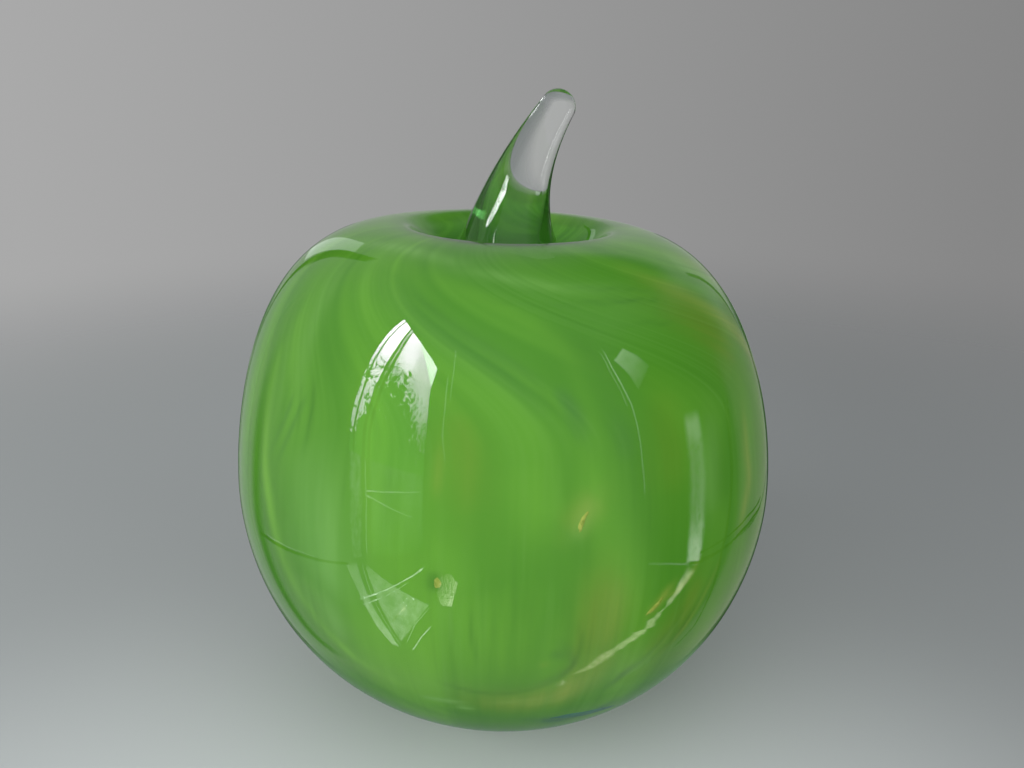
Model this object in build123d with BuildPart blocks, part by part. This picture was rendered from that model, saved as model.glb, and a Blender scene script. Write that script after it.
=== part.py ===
from build123d import *

import math
import os

# A blown art glass apple: one green colour layer between two gathers of clear glass,
# with chips of yellow and blue glass fused into it and a solid clear stem on top.
# Lengths are millimetres and angles degrees, +Z is up and +X is the viewer's right.
# The origin lies on the resting surface, under the middle of the widest ring.

# Outer surface of the blown body, measured along and out from its leaning axis
body_diameter = 163.0
widest_height = 75.0
crest_height = 150.5
crest_radius = 32.0
dimple_depth = 13.0
dimple_floor_radius = 18.0
lean_angle = 1.74

# Handles of the outline's curves, as shares of the radius or height that each one spans
bottom_handle_share = 0.81
belly_handle_share = 0.335
shoulder_rise_share = 0.256
shoulder_reach_share = 0.866
lip_handle_share = 0.45
floor_handle_share = 0.35

# Walls of the three layers, at the side and under the bottom
casing_wall = 4.5
casing_bottom_wall = 9.0
colour_wall = 1.5
colour_bottom_wall = 2.0
core_wall = 3.0
core_bottom_wall = 5.0
dimple_widening_share = 0.6

# Cold work on the bottom
base_grind = 2.6
base_bevel = 0.5
pontil_radius = 11.0
pontil_depth = 1.5

# Neck hole that the blowpipe left, and the stem's root that closes it
neck_radius = 8.0
root_overhang = 3.0
root_round = 2.4

# Stem
stem_foot_margin = 0.5
stem_rise = 47.1
stem_reach = 12.9
stem_tip_radius = 5.1
stem_tip_angle = 32.3
stem_foot_handle = 6.0
stem_tip_handle = 28.0
stem_taper_power = 1.53
stem_section_count = 9

# Chips of coloured glass in the colour layer: direction from the body's middle as azimuth from
# the front and elevation, turn about that direction, and shares of the chip's length and width
yellow_chip_length = 7.5
yellow_chip_width = 1.8
yellow_chip_shares = [(14.7, 10.6, -24, 0.9, 0.8), (30.5, -9.8, -46, 1.0, 1.0), (-11.7, -0.8, -5, 0.4, 1.0)]
blue_chip_length = 20.0
blue_chip_width = 3.5
blue_chip_shares = [(23.0, -42.6, 84, 1.0, 1.0)]

# One overrun for every cut
overrun = 5.0

# Worked out from the sizes above
body_radius = body_diameter / 2
colour_bottom = casing_bottom_wall + colour_bottom_wall
core_bottom = colour_bottom + core_bottom_wall
colour_side = casing_wall + colour_wall
core_side = colour_side + core_wall
floor_height = crest_height - dimple_depth
lean = math.radians(lean_angle)
axis_foot = Vector(-widest_height * math.sin(lean), 0, 0)
axis_direction = Vector(math.sin(lean), 0, math.cos(lean))
leaning_axis = Axis(axis_foot, axis_direction)
body_plane = Plane(axis_foot, x_dir=(math.cos(lean), 0, -math.sin(lean)), z_dir=(0, -1, 0))
floor_plane = Plane(axis_foot + axis_direction * floor_height, z_dir=axis_direction)
body_middle = axis_foot + axis_direction * widest_height
stem_foot_radius = dimple_floor_radius - stem_foot_margin
stem_tip = (stem_reach, floor_height + stem_rise)
stem_tip_lean = math.radians(stem_tip_angle)


def gather_face(side, bottom):
    """Half section of the body, side inside its outer surface and bottom above its underside."""
    radius = body_radius - side
    pole = bottom - base_grind
    crest = crest_height - side
    floor = floor_height - side
    floor_radius = dimple_floor_radius + side * dimple_widening_share
    widest = (radius, widest_height)
    lip = (crest_radius, crest)
    floor_edge = (floor_radius, floor)
    belly_handle = (radius, widest_height - belly_handle_share * (widest_height - pole))
    shoulder_start = (radius, widest_height + shoulder_rise_share * (crest - widest_height))
    shoulder_end = (crest_radius + shoulder_reach_share * (radius - crest_radius), crest)
    lip_handle = (crest_radius - lip_handle_share * (crest_radius - floor_radius), crest)
    floor_handle = (floor_radius + floor_handle_share * (crest_radius - floor_radius), floor)
    with BuildSketch() as face:
        with BuildLine():
            Bezier((0, pole), (bottom_handle_share * radius, pole), belly_handle, widest)
            Bezier(widest, shoulder_start, shoulder_end, lip)
            Bezier(lip, lip_handle, floor_handle, floor_edge)
            Polyline(floor_edge, (0, floor), (0, pole))
        make_face()
    return face.sketch


def layer_face(outer_side, outer_bottom, inner_side, inner_bottom):
    """Half section of one layer, from its outer to its inner surface, open at the neck hole."""
    with BuildSketch() as layer:
        add(gather_face(outer_side, outer_bottom))
        add(gather_face(inner_side, inner_bottom), mode=Mode.SUBTRACT)
        with Locations((0, floor_height)):
            Rectangle(2 * neck_radius, 2 * (core_side + overrun), mode=Mode.SUBTRACT)
    return layer.sketch


def chip_prisms(length, width, places_and_shares):
    """Elliptical prisms from the body's middle out through its wall, one at each place."""
    with BuildPart() as prisms:
        for azimuth, elevation, turn, length_share, width_share in places_and_shares:
            flat = math.cos(math.radians(elevation))
            outward = Vector(
                flat * math.sin(math.radians(azimuth)),
                -flat * math.cos(math.radians(azimuth)),
                math.sin(math.radians(elevation)),
            )
            across = outward.cross(Vector(0, 0, 1))
            with BuildSketch(Plane(body_middle, x_dir=across, z_dir=outward)):
                Ellipse(width * width_share / 2, length * length_share / 2, rotation=turn)
            extrude(amount=body_radius + crest_height)
    return prisms.part


os.makedirs("parts", exist_ok=True)

casing_face = layer_face(0, 0, casing_wall, casing_bottom_wall)
colour_face = layer_face(casing_wall, casing_bottom_wall, colour_side, colour_bottom)
core_face = layer_face(colour_side, colour_bottom, core_side, core_bottom)
yellow_prisms = chip_prisms(yellow_chip_length, yellow_chip_width, yellow_chip_shares)
blue_prisms = chip_prisms(blue_chip_length, blue_chip_width, blue_chip_shares)

# Clear casing: the last gather of clear glass, with its ground foot and polished pontil mark
with BuildPart() as clear_casing:
    with BuildSketch(body_plane):
        add(casing_face)
    revolve(axis=leaning_axis)
    split(bisect_by=Plane.XY, keep=Keep.TOP)
    ground_edge = clear_casing.faces().sort_by(Axis.Z)[0].outer_wire().edges()
    chamfer(ground_edge, base_bevel)
    pontil_sphere = (pontil_radius**2 + pontil_depth**2) / (2 * pontil_depth)
    with Locations((axis_foot.X, 0, pontil_depth - pontil_sphere)):
        Sphere(pontil_sphere, mode=Mode.SUBTRACT)
clear_casing.part.label = "clear_casing"
export_step(clear_casing.part, "parts/clear_casing.step")

# Green colour coat: the layer that carries the swirls, with a pocket for each chip
with BuildPart() as green_colour_coat:
    with BuildSketch(body_plane):
        add(colour_face)
    revolve(axis=leaning_axis)
    add(yellow_prisms, mode=Mode.SUBTRACT)
    add(blue_prisms, mode=Mode.SUBTRACT)
green_colour_coat.part.label = "green_colour_coat"
export_step(green_colour_coat.part, "parts/green_colour_coat.step")

# Inner gather: the clear glass that was blown, round the hollow
with BuildPart() as inner_gather:
    with BuildSketch(body_plane):
        add(core_face)
    revolve(axis=leaning_axis)
inner_gather.part.label = "inner_gather"
export_step(inner_gather.part, "parts/inner_gather.step")

# Yellow chips, each as thick as the colour layer
with BuildPart() as yellow_glass_chips:
    with BuildSketch(body_plane):
        add(colour_face)
    revolve(axis=leaning_axis)
    add(yellow_prisms, mode=Mode.INTERSECT)
yellow_glass_chips.part.label = "yellow_glass_chips"
export_step(yellow_glass_chips.part, "parts/yellow_glass_chips.step")

# Blue streak low on the right, as thick as the colour layer
with BuildPart() as blue_glass_streak:
    with BuildSketch(body_plane):
        add(colour_face)
    revolve(axis=leaning_axis)
    add(blue_prisms, mode=Mode.INTERSECT)
blue_glass_streak.part.label = "blue_glass_streak"
export_step(blue_glass_streak.part, "parts/blue_glass_streak.step")

# Stem: one solid bit of clear glass, seated on the dimple's floor, rooted in the neck hole
with BuildLine(body_plane) as stem_path:
    Bezier(
        (0, floor_height),
        (0, floor_height + stem_foot_handle),
        (
            stem_tip[0] - stem_tip_handle * math.sin(stem_tip_lean),
            stem_tip[1] - stem_tip_handle * math.cos(stem_tip_lean),
        ),
        stem_tip,
    )

with BuildPart() as stem:
    for section in range(stem_section_count):
        section_share = section / (stem_section_count - 1)
        taper = (stem_tip_radius / stem_foot_radius) ** (section_share**stem_taper_power)
        with BuildSketch(
            Plane(stem_path.line @ section_share, x_dir=(0, 1, 0), z_dir=stem_path.line % section_share)
        ):
            Circle(stem_foot_radius * taper)
    loft()
    with Locations(Plane(stem_path.line @ 1, x_dir=(0, 1, 0), z_dir=stem_path.line % 1)):
        Sphere(stem_tip_radius, arc_size1=0, align=(Align.CENTER, Align.CENTER, Align.MIN))
    with BuildSketch(floor_plane):
        Circle(neck_radius)
    extrude(amount=-(core_side + root_overhang))
    fillet(stem.edges().group_by(leaning_axis)[0], root_round)
stem.part.label = "stem"
export_step(stem.part, "parts/stem.step")
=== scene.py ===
import math

import bpy
import numpy as np
from mathutils import Matrix, Vector


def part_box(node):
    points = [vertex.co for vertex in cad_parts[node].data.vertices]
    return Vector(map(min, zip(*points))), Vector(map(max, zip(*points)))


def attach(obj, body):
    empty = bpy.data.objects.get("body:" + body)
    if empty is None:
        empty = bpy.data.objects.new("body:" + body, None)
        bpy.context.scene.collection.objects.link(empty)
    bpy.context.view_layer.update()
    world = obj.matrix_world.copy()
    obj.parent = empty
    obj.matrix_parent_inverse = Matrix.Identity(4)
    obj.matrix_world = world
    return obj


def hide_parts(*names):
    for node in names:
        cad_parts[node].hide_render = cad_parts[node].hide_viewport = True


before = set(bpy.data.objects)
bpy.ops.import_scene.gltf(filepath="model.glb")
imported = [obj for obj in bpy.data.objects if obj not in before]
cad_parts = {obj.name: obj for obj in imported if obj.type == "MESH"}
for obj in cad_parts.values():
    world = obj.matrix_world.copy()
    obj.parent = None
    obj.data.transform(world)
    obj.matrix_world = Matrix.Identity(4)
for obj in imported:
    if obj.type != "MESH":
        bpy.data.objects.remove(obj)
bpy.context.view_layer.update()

# A blown art glass apple. Metres, row frame: +Z up, +X the viewer's right, -Y towards the viewer.
# Heights and radii of the body are measured along and out from its leaning axis.
# Azimuths are degrees round that axis, from the front (-Y) towards +X.
CASING_LOW, CASING_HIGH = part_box("clear_casing")
MM = 0.001

# Outer surface
BODY_RADIUS = (CASING_HIGH.y - CASING_LOW.y) / 2
WIDEST = 75.0 * MM
CREST = 150.5 * MM
CREST_RADIUS = 32.0 * MM
DIMPLE_DEPTH = 13.0 * MM
DIMPLE_FLOOR_RADIUS = 18.0 * MM
LEAN = math.radians(1.74)
BOTTOM_HANDLE_SHARE = 0.81
BELLY_HANDLE_SHARE = 0.335
SHOULDER_RISE_SHARE = 0.256
SHOULDER_REACH_SHARE = 0.866
LIP_HANDLE_SHARE = 0.45
FLOOR_HANDLE_SHARE = 0.35

# Walls: distance inside the outer surface at the side, and above its underside at the bottom
COAT_SIDE, COAT_BOTTOM = 4.5 * MM, 9.0 * MM
CORE_SIDE, CORE_BOTTOM = 6.0 * MM, 11.0 * MM
HOLLOW_SIDE, HOLLOW_BOTTOM = 9.0 * MM, 16.0 * MM
# The casing's inner surface lies this share of the way into the coat, so that no gap shows
HIDDEN_SHARE = 0.5
DIMPLE_WIDENING_SHARE = 0.6
NECK_RADIUS = 8.0 * MM
GRIND = 2.6 * MM
BEVEL = 0.5 * MM
PONTIL_RADIUS, PONTIL_DEPTH = 11.0 * MM, 1.5 * MM

# Stem
STEM_FOOT_RADIUS = 17.5 * MM
STEM_RISE, STEM_REACH = 47.1 * MM, 12.9 * MM
STEM_TIP_RADIUS = 5.1 * MM
STEM_TIP_ANGLE = math.radians(32.3)
STEM_FOOT_HANDLE, STEM_TIP_HANDLE = 6.0 * MM, 28.0 * MM
STEM_TAPER_POWER = 1.53
TIP_SHARE = 0.995
ROOT_OVERHANG = 3.0 * MM
ROOT_ROUND = 2.4 * MM

FLOOR_HEIGHT = CREST - DIMPLE_DEPTH
AXIS_FOOT = np.array([-WIDEST * math.sin(LEAN), 0.0, 0.0])
AXIS = np.array([math.sin(LEAN), 0.0, math.cos(LEAN)])
ACROSS = np.array([math.cos(LEAN), 0.0, -math.sin(LEAN)])
BACK = np.array([0.0, 1.0, 0.0])
MIDDLE = AXIS_FOOT + AXIS * WIDEST


def bezier(points, t):
    """Points of a cubic Bezier at each t, as (len(t), 2)."""
    p = [np.array(q, float) for q in points]
    t = np.asarray(t, float)[..., None]
    return (1 - t) ** 3 * p[0] + 3 * (1 - t) ** 2 * t * p[1] + 3 * (1 - t) * t**2 * p[2] + t**3 * p[3]


def outline(side, bottom):
    """The body's half section as three curves.

    It lies side inside the outer surface, and bottom above the underside.
    """
    radius = BODY_RADIUS - side
    pole = bottom - GRIND
    crest = CREST - side
    floor = FLOOR_HEIGHT - side
    floor_radius = DIMPLE_FLOOR_RADIUS + side * DIMPLE_WIDENING_SHARE
    belly = [
        (0, pole),
        (BOTTOM_HANDLE_SHARE * radius, pole),
        (radius, WIDEST - BELLY_HANDLE_SHARE * (WIDEST - pole)),
        (radius, WIDEST),
    ]
    shoulder = [
        (radius, WIDEST),
        (radius, WIDEST + SHOULDER_RISE_SHARE * (crest - WIDEST)),
        (CREST_RADIUS + SHOULDER_REACH_SHARE * (radius - CREST_RADIUS), crest),
        (CREST_RADIUS, crest),
    ]
    dimple = [
        (CREST_RADIUS, crest),
        (CREST_RADIUS - LIP_HANDLE_SHARE * (CREST_RADIUS - floor_radius), crest),
        (floor_radius + FLOOR_HANDLE_SHARE * (CREST_RADIUS - floor_radius), floor),
        (floor_radius, floor),
    ]
    return belly, shoulder, dimple


# Slight departures from a turned shape, as hand blowing leaves them: azimuth and elevation of the
# middle of each, its reach in degrees, and how far it stands out
SWELLINGS = [
    (-92, 46, 24, 1.34 * MM),
    (92, 36, 26, -0.85 * MM),
    (-60, -48, 24, -0.37 * MM),
    (150, 20, 40, -1.49 * MM),
    (-150, -5, 35, -0.45 * MM),
    (-90, -5, 30, -0.2 * MM),
]


def blown(points):
    """Moves points of any layer in or out by the swellings of the hand-blown body."""
    away = points - MIDDLE
    length = np.linalg.norm(away, axis=-1, keepdims=True)
    direction = away / np.maximum(length, 1e-9)
    moved = points.copy()
    for azimuth, elevation, reach, amount in SWELLINGS:
        a, e = math.radians(azimuth), math.radians(elevation)
        centre = np.array([math.sin(a) * math.cos(e), -math.cos(a) * math.cos(e), math.sin(e)])
        angle = np.arccos(np.clip(direction @ centre, -1, 1))
        bump = np.exp(-((angle / math.radians(reach)) ** 2))[..., None]
        moved += direction * bump * amount * np.clip(length / BODY_RADIUS, 0, 1)
    return moved


def on_body(radius, height, azimuth):
    """World points at these radii and heights on the leaning axis and azimuths in radians."""
    r = np.asarray(radius)[..., None]
    h = np.asarray(height)[..., None]
    a = np.asarray(azimuth)[..., None]
    return AXIS_FOOT + r * (np.sin(a) * ACROSS - np.cos(a) * BACK) + h * AXIS


def azimuths(count):
    """Evenly spread azimuths once round the axis, in radians."""
    return np.linspace(0, 2 * math.pi, count, endpoint=False)


def rings_of(profile, segments):
    """Rings of the turned body from a (n, 2) profile of radius and height."""
    a = azimuths(segments)
    return on_body(profile[:, :1] + 0 * a, profile[:, 1:] + 0 * a, a + 0 * profile[:, :1])


def add_surface(parts, rings, slot_index=0, close_start=False, close_end=False):
    """Adds a grid of rings to the vertex and face lists in parts, with a pole where an end closes."""
    vertices, faces, slots = parts
    start = sum(len(v) for v in vertices)
    n, m = rings.shape[:2]
    vertices.append(rings.reshape(-1, 3))
    i, j = np.meshgrid(np.arange(n - 1), np.arange(m), indexing="ij")
    k = (j + 1) % m
    quads = np.stack([i * m + j, i * m + k, (i + 1) * m + k, (i + 1) * m + j], -1).reshape(-1, 4) + start
    faces.extend(quads.tolist())
    slots.extend([slot_index] * len(quads))
    for closes, row, turned in ((close_start, 0, True), (close_end, n - 1, False)):
        if closes:
            pole = start + n * m
            start_row = start + row * m
            vertices.append(rings[row].mean(0)[None])
            edges = [(start_row + a, start_row + (a + 1) % m) for a in range(m)]
            faces.extend([[b, a, pole] if turned else [a, b, pole] for a, b in edges])
            slots.extend([slot_index] * m)
            start += 1


def mesh_object(name, parts, materials):
    """A smooth shaded object from vertex and face lists."""
    vertices, faces, slots = parts
    points = np.concatenate(vertices)
    mesh = bpy.data.meshes.new(name)
    mesh.from_pydata(points.tolist(), [], faces)
    for material in materials:
        mesh.materials.append(material)
    mesh.polygons.foreach_set("material_index", slots)
    mesh.polygons.foreach_set("use_smooth", [True] * len(faces))
    mesh.update()
    made = bpy.data.objects.new(name, mesh)
    bpy.context.scene.collection.objects.link(made)
    return made


def profile_of(side, bottom, counts, from_share=0.0):
    """Points from the bottom pole to the dimple floor's edge, counts along each of the three curves."""
    belly, shoulder, dimple = outline(side, bottom)
    return np.concatenate([
        bezier(belly, np.linspace(from_share, 1, counts[0])),
        bezier(shoulder, np.linspace(0, 1, counts[1]))[1:],
        bezier(dimple, np.linspace(0, 1, counts[2]))[1:],
    ])


# Materials
def new_material(name):
    """An empty node material and its tree."""
    material = bpy.data.materials.new(name)
    material.use_nodes = True
    material.node_tree.nodes.clear()
    return material, material.node_tree


def add(tree, kind, inputs=(), **settings):
    """A shader node. Each of its inputs is a value, or another node's output to link."""
    node = tree.nodes.new("ShaderNode" + kind)
    for name, value in settings.items():
        setattr(node, name, value)
    for key, value in dict(inputs).items():
        if isinstance(value, bpy.types.NodeSocket):
            tree.links.new(value, node.inputs[key])
        else:
            node.inputs[key].default_value = value
    return node


def surface(tree, shader):
    add(tree, "OutputMaterial", {"Surface": shader.outputs[0]})


def object_place(tree):
    return add(tree, "TexCoord").outputs["Object"]


def painted_value(tree, name):
    """The value that a mesh holds at its points under this name."""
    return add(tree, "Attribute", attribute_name=name).outputs["Fac"]


def noise(tree, place, scale, detail, roughness=0.5, distortion=0.0):
    return add(tree, "TexNoise", {
        "Vector": place, "Scale": scale, "Detail": detail, "Roughness": roughness, "Distortion": distortion,
    }).outputs["Fac"]


def scaled(tree, value, low, high, to_low=0.0, to_high=1.0, **settings):
    """The value carried from the range low to high over to the range to_low to to_high, and kept in it."""
    return add(tree, "MapRange", {
        "Value": value, "From Min": low, "From Max": high, "To Min": to_low, "To Max": to_high,
    }, **settings).outputs["Result"]


def eased(tree, value, low, high):
    """From nought at low to one at high, with no visible edge at either."""
    return scaled(tree, value, low, high, interpolation_type="SMOOTHERSTEP")


def times(tree, a, b, **settings):
    return add(tree, "Math", {0: a, 1: b}, operation="MULTIPLY", **settings).outputs[0]


def mix_colour(tree, share, below, above):
    """A mix of two colours. Each is a colour or another node's output."""
    below, above = ((*colour, 1) if isinstance(colour, tuple) else colour for colour in (below, above))
    return add(tree, "Mix", {"Factor": share, "A": below, "B": above}, data_type="RGBA").outputs["Result"]


def matt_shader(tree, colour, roughness):
    """A shader without gloss of its own, for what lies under the clear glass."""
    return add(tree, "BsdfPrincipled", {
        "Base Color": colour, "Roughness": roughness, "Specular IOR Level": 0.0,
    })


def clear_glass(name, tint, wave, wave_scale, ior=1.5):
    """Fire polished clear glass that lets lamps and diffuse light reach what lies inside it."""
    material, tree = new_material(name)
    place = object_place(tree)
    ripple = noise(tree, place, wave_scale, 1.5, 0.4)
    smudge = noise(tree, place, wave_scale * 3, 4.0)
    bump = add(tree, "Bump", {"Strength": 1.0, "Distance": wave, "Height": ripple})
    glass = add(tree, "BsdfGlass", {
        "Color": (*tint, 1), "IOR": ior, "Normal": bump.outputs["Normal"],
        "Roughness": scaled(tree, smudge, 0.5, 0.8, 0.0, 0.006),
    }).outputs[0]
    open_way = add(tree, "BsdfTransparent", {"Color": (*tint, 1)}).outputs[0]
    path = add(tree, "LightPath").outputs
    lit = add(tree, "MixShader", {0: path["Is Diffuse Ray"], 1: glass, 2: open_way})
    surface(tree, add(tree, "MixShader", {0: path["Is Shadow Ray"], 1: lit.outputs[0], 2: open_way}))
    return material


def fused_joint(name):
    """Where two bits of glass were fused there is no surface to see."""
    material, tree = new_material(name)
    surface(tree, add(tree, "BsdfTransparent"))
    return material


def ground_glass(name):
    """The ground ring under the body: fine grey frosting with circular grinding marks."""
    material, tree = new_material(name)
    marks = noise(tree, object_place(tree), 900.0, 6.0)
    bump = add(tree, "Bump", {"Distance": 0.03 * MM, "Height": marks})
    surface(tree, add(tree, "BsdfPrincipled", {
        "Base Color": (0.62, 0.7, 0.63, 1), "Roughness": scaled(tree, marks, 0.0, 1.0, 0.3, 0.6),
        "Normal": bump.outputs["Normal"],
    }))
    return material


def streak_noise(tree, flow, stretch, scale, detail, distortion=0.0):
    """Noise drawn out along the flow of the colour."""
    mapping = add(tree, "Mapping", {"Vector": flow, "Scale": stretch})
    return noise(tree, mapping.outputs[0], scale, detail, distortion=distortion)


# Colours of the coat
GREEN = (0.112, 0.325, 0.026)
COAT_COLOURS = {
    "milk": (0.180, 0.400, 0.090),
    "light": (0.165, 0.420, 0.036),
    "deep": (0.066, 0.235, 0.016),
    "teal": (0.062, 0.200, 0.032),
    "olive": (0.150, 0.262, 0.022),
    "amber": (0.240, 0.340, 0.048),
    "shade": (0.030, 0.135, 0.012),
    "blued": (0.030, 0.120, 0.080),
}


def coat_material():
    """Green colour drawn out in streaks, with softer bands of each painted kind over it."""
    material, tree = new_material("green_coat_swirls")
    deep, milk, shade = COAT_COLOURS["deep"], COAT_COLOURS["milk"], COAT_COLOURS["shade"]
    flow = add(tree, "Attribute", attribute_name="flow").outputs["Vector"]
    broad = streak_noise(tree, flow, (1.0, 1.0, 0.35), 2.6, 2.0, 0.4)
    fine = streak_noise(tree, flow, (1.0, 1.0, 0.09), 13.0, 3.0)
    hair = streak_noise(tree, flow, (1.0, 1.0, 0.05), 38.0, 3.0)
    colour = mix_colour(tree, scaled(tree, broad, 0.34, 0.64), deep, GREEN)
    colour = mix_colour(tree, scaled(tree, broad, 0.56, 0.78, 0.0, 0.5), colour, COAT_COLOURS["light"])
    wisps = scaled(tree, fine, 0.36, 0.64, 0.65, 1.15)
    for kind, tone in COAT_COLOURS.items():
        colour = mix_colour(tree, times(tree, painted_value(tree, kind), wisps, use_clamp=True), colour, tone)
    colour = mix_colour(tree, scaled(tree, fine, 0.36, 0.56, 0.12, 0.0), colour, deep)
    patchy = scaled(tree, streak_noise(tree, flow, (1.0, 1.0, 0.4), 4.0, 2.0), 0.42, 0.6, 0.15, 1.0)
    paler = times(tree, scaled(tree, hair, 0.52, 0.68, 0.0, 0.10), patchy, use_clamp=True)
    colour = mix_colour(tree, paler, colour, milk)
    drawn = times(tree, scaled(tree, hair, 0.34, 0.46, 0.10, 0.0), patchy, use_clamp=True)
    colour = mix_colour(tree, drawn, colour, shade)
    surface(tree, matt_shader(tree, colour, 0.7))
    return material


def chip_material(name, light, dark, scale):
    """Coloured glass chip, unevenly melted."""
    material, tree = new_material(name)
    uneven = noise(tree, object_place(tree), scale, 4.0, distortion=0.6)
    surface(tree, matt_shader(tree, mix_colour(tree, scaled(tree, uneven, 0.35, 0.65), dark, light), 0.5))
    return material


CLEAR = clear_glass("clear_casing_glass", (0.985, 1.0, 0.985), 0.02 * MM, 28.0)
STEM_CLEAR = clear_glass("clear_stem_glass", (0.99, 1.0, 0.992), 0.03 * MM, 60.0, 1.47)
CORE_CLEAR = clear_glass("inner_gather_glass", (0.98, 1.0, 0.98), 0.02 * MM, 28.0)
FUSED = fused_joint("fused_joint")
GROUND = ground_glass("ground_foot")
COAT = coat_material()
YELLOW = chip_material("yellow_chip_glass", (0.36, 0.42, 0.08), (0.19, 0.28, 0.03), 600.0)
BLUE = chip_material("blue_streak_glass", (0.045, 0.19, 0.13), (0.025, 0.12, 0.085), 220.0)

# Casing: points along the belly, shoulder and dimple of each surface, and round it
SEGMENTS = 300
BELLY_POINTS, SHOULDER_POINTS, DIMPLE_POINTS = 90, 80, 24
INNER_POINTS = (50, 50, 16)
# Where along the belly's curve a profile starts, just off the pole that closes it
POLE_SHARE = 0.02
START_STEPS = 40
belly, shoulder, dimple = outline(0, 0)
angles = azimuths(SEGMENTS)


def start_share(height):
    """For each azimuth, where along the belly's curve the surface rises past a world height."""
    low, high = np.zeros(SEGMENTS), np.full(SEGMENTS, 0.6)
    for _ in range(START_STEPS):
        middle = (low + high) / 2
        p = bezier(belly, middle)
        z = on_body(p[:, 0], p[:, 1], angles)[:, 2]
        low, high = np.where(z < height, middle, low), np.where(z < height, high, middle)
    return high


def outer_rings():
    """The casing's outer surface from its ground edge up over the crest and down to the dimple's floor."""
    start = start_share(BEVEL)
    rings = []
    for s in np.linspace(0, 1, BELLY_POINTS):
        p = bezier(belly, start + (1 - start) * s)
        rings.append(on_body(p[:, 0], p[:, 1], angles))
    upper = np.concatenate([
        bezier(shoulder, np.linspace(0, 1, SHOULDER_POINTS))[1:],
        bezier(dimple, np.linspace(0, 1, DIMPLE_POINTS))[1:],
    ])
    rings = np.concatenate([np.stack(rings), rings_of(upper, SEGMENTS)])
    return blown(rings)


def foot_rings(edge):
    """Bevel, ground ring and pontil hollow, from the ground edge inwards."""
    centre = AXIS_FOOT * np.array([1, 1, 0])
    away = edge - centre
    away[:, 2] = 0
    reach = np.linalg.norm(away, axis=1, keepdims=True)
    direction = away / reach
    ground = []
    inner = reach - BEVEL
    for share in (1.0, 0.5, 0.0):
        r = PONTIL_RADIUS + (inner - PONTIL_RADIUS) * share
        ground.append(centre + direction * r)
    sphere = (PONTIL_RADIUS**2 + PONTIL_DEPTH**2) / (2 * PONTIL_DEPTH)
    hollow = []
    for share in (0.97, 0.85, 0.65, 0.4, 0.15):
        r = PONTIL_RADIUS * share
        z = PONTIL_DEPTH - sphere + math.sqrt(sphere**2 - r**2)
        hollow.append(centre + direction * r + np.array([0, 0, z]))
    return np.stack(ground), np.stack([ground[-1]] + hollow)


parts = ([], [], [])
outer = outer_rings()
ground_rings, hollow_rings = foot_rings(outer[0])
floor_edge = outer[-1]
floor_centre = AXIS_FOOT + AXIS * FLOOR_HEIGHT
joint_rings = np.stack([
    floor_centre + (floor_edge - floor_centre) * share
    for share in (1.0, STEM_FOOT_RADIUS / DIMPLE_FLOOR_RADIUS)
])
bore_top = floor_centre + (floor_edge - floor_centre) * (NECK_RADIUS / DIMPLE_FLOOR_RADIUS)
inner_side = COAT_SIDE + HIDDEN_SHARE * (CORE_SIDE - COAT_SIDE)
inner_bottom = COAT_BOTTOM + HIDDEN_SHARE * (CORE_BOTTOM - COAT_BOTTOM)
inner = blown(rings_of(profile_of(inner_side, inner_bottom, INNER_POINTS, POLE_SHARE), SEGMENTS))
inner_floor = floor_centre - AXIS * inner_side
bore_low = inner_floor + (bore_top - floor_centre)
add_surface(parts, hollow_rings[::-1], 0, close_start=True)
add_surface(parts, ground_rings[::-1], 2)
add_surface(parts, np.stack([ground_rings[0], outer[0]]), 0)
add_surface(parts, np.concatenate([outer, joint_rings[1:]]), 0)
add_surface(parts, np.stack([joint_rings[-1], bore_top, bore_low]), 1)
add_surface(parts, np.concatenate([bore_low[None], inner[::-1]]), 0, close_end=True)

# Seed bubbles left in the casing: azimuth, height and radius in mm, each at this share of its depth
SEEDS = [
    (98.0, 60.0, 0.35), (121.0, 96.0, 0.4), (152.0, 44.0, 0.3), (196.0, 52.0, 0.35), (243.0, 108.0, 0.4),
    (262.0, 71.0, 0.3),
]
SEED_DEPTH_SHARE = 0.55
SEED_LINE_POINTS = (200, 200, 8)
SEED_RINGS, SEED_SEGMENTS, SEED_POLE_ANGLE = 9, 16, 78
outer_profile = profile_of(0, 0, SEED_LINE_POINTS)
coat_side_profile = profile_of(COAT_SIDE, COAT_BOTTOM, SEED_LINE_POINTS)
for azimuth, height, radius in SEEDS:
    a = math.radians(azimuth)
    near, far = (
        side[np.argmin(np.abs(side[:, 1] - height * MM) + 10 * (side[:, 0] < CREST_RADIUS))]
        for side in (outer_profile, coat_side_profile)
    )
    r, h = near + (far - near) * SEED_DEPTH_SHARE
    centre = blown(on_body(r, h, a))
    latitude = np.radians(np.linspace(-SEED_POLE_ANGLE, SEED_POLE_ANGLE, SEED_RINGS))[:, None, None]
    turn = azimuths(SEED_SEGMENTS)[None, :, None]
    ball = np.concatenate([
        np.cos(latitude) * np.sin(turn), -np.cos(latitude) * np.cos(turn), np.sin(latitude) + 0 * turn,
    ], -1)
    add_surface(parts, (centre + radius * MM * ball)[::-1], 0, close_start=True, close_end=True)
casing = mesh_object("casing_glass", parts, [CLEAR, FUSED, GROUND])

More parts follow.
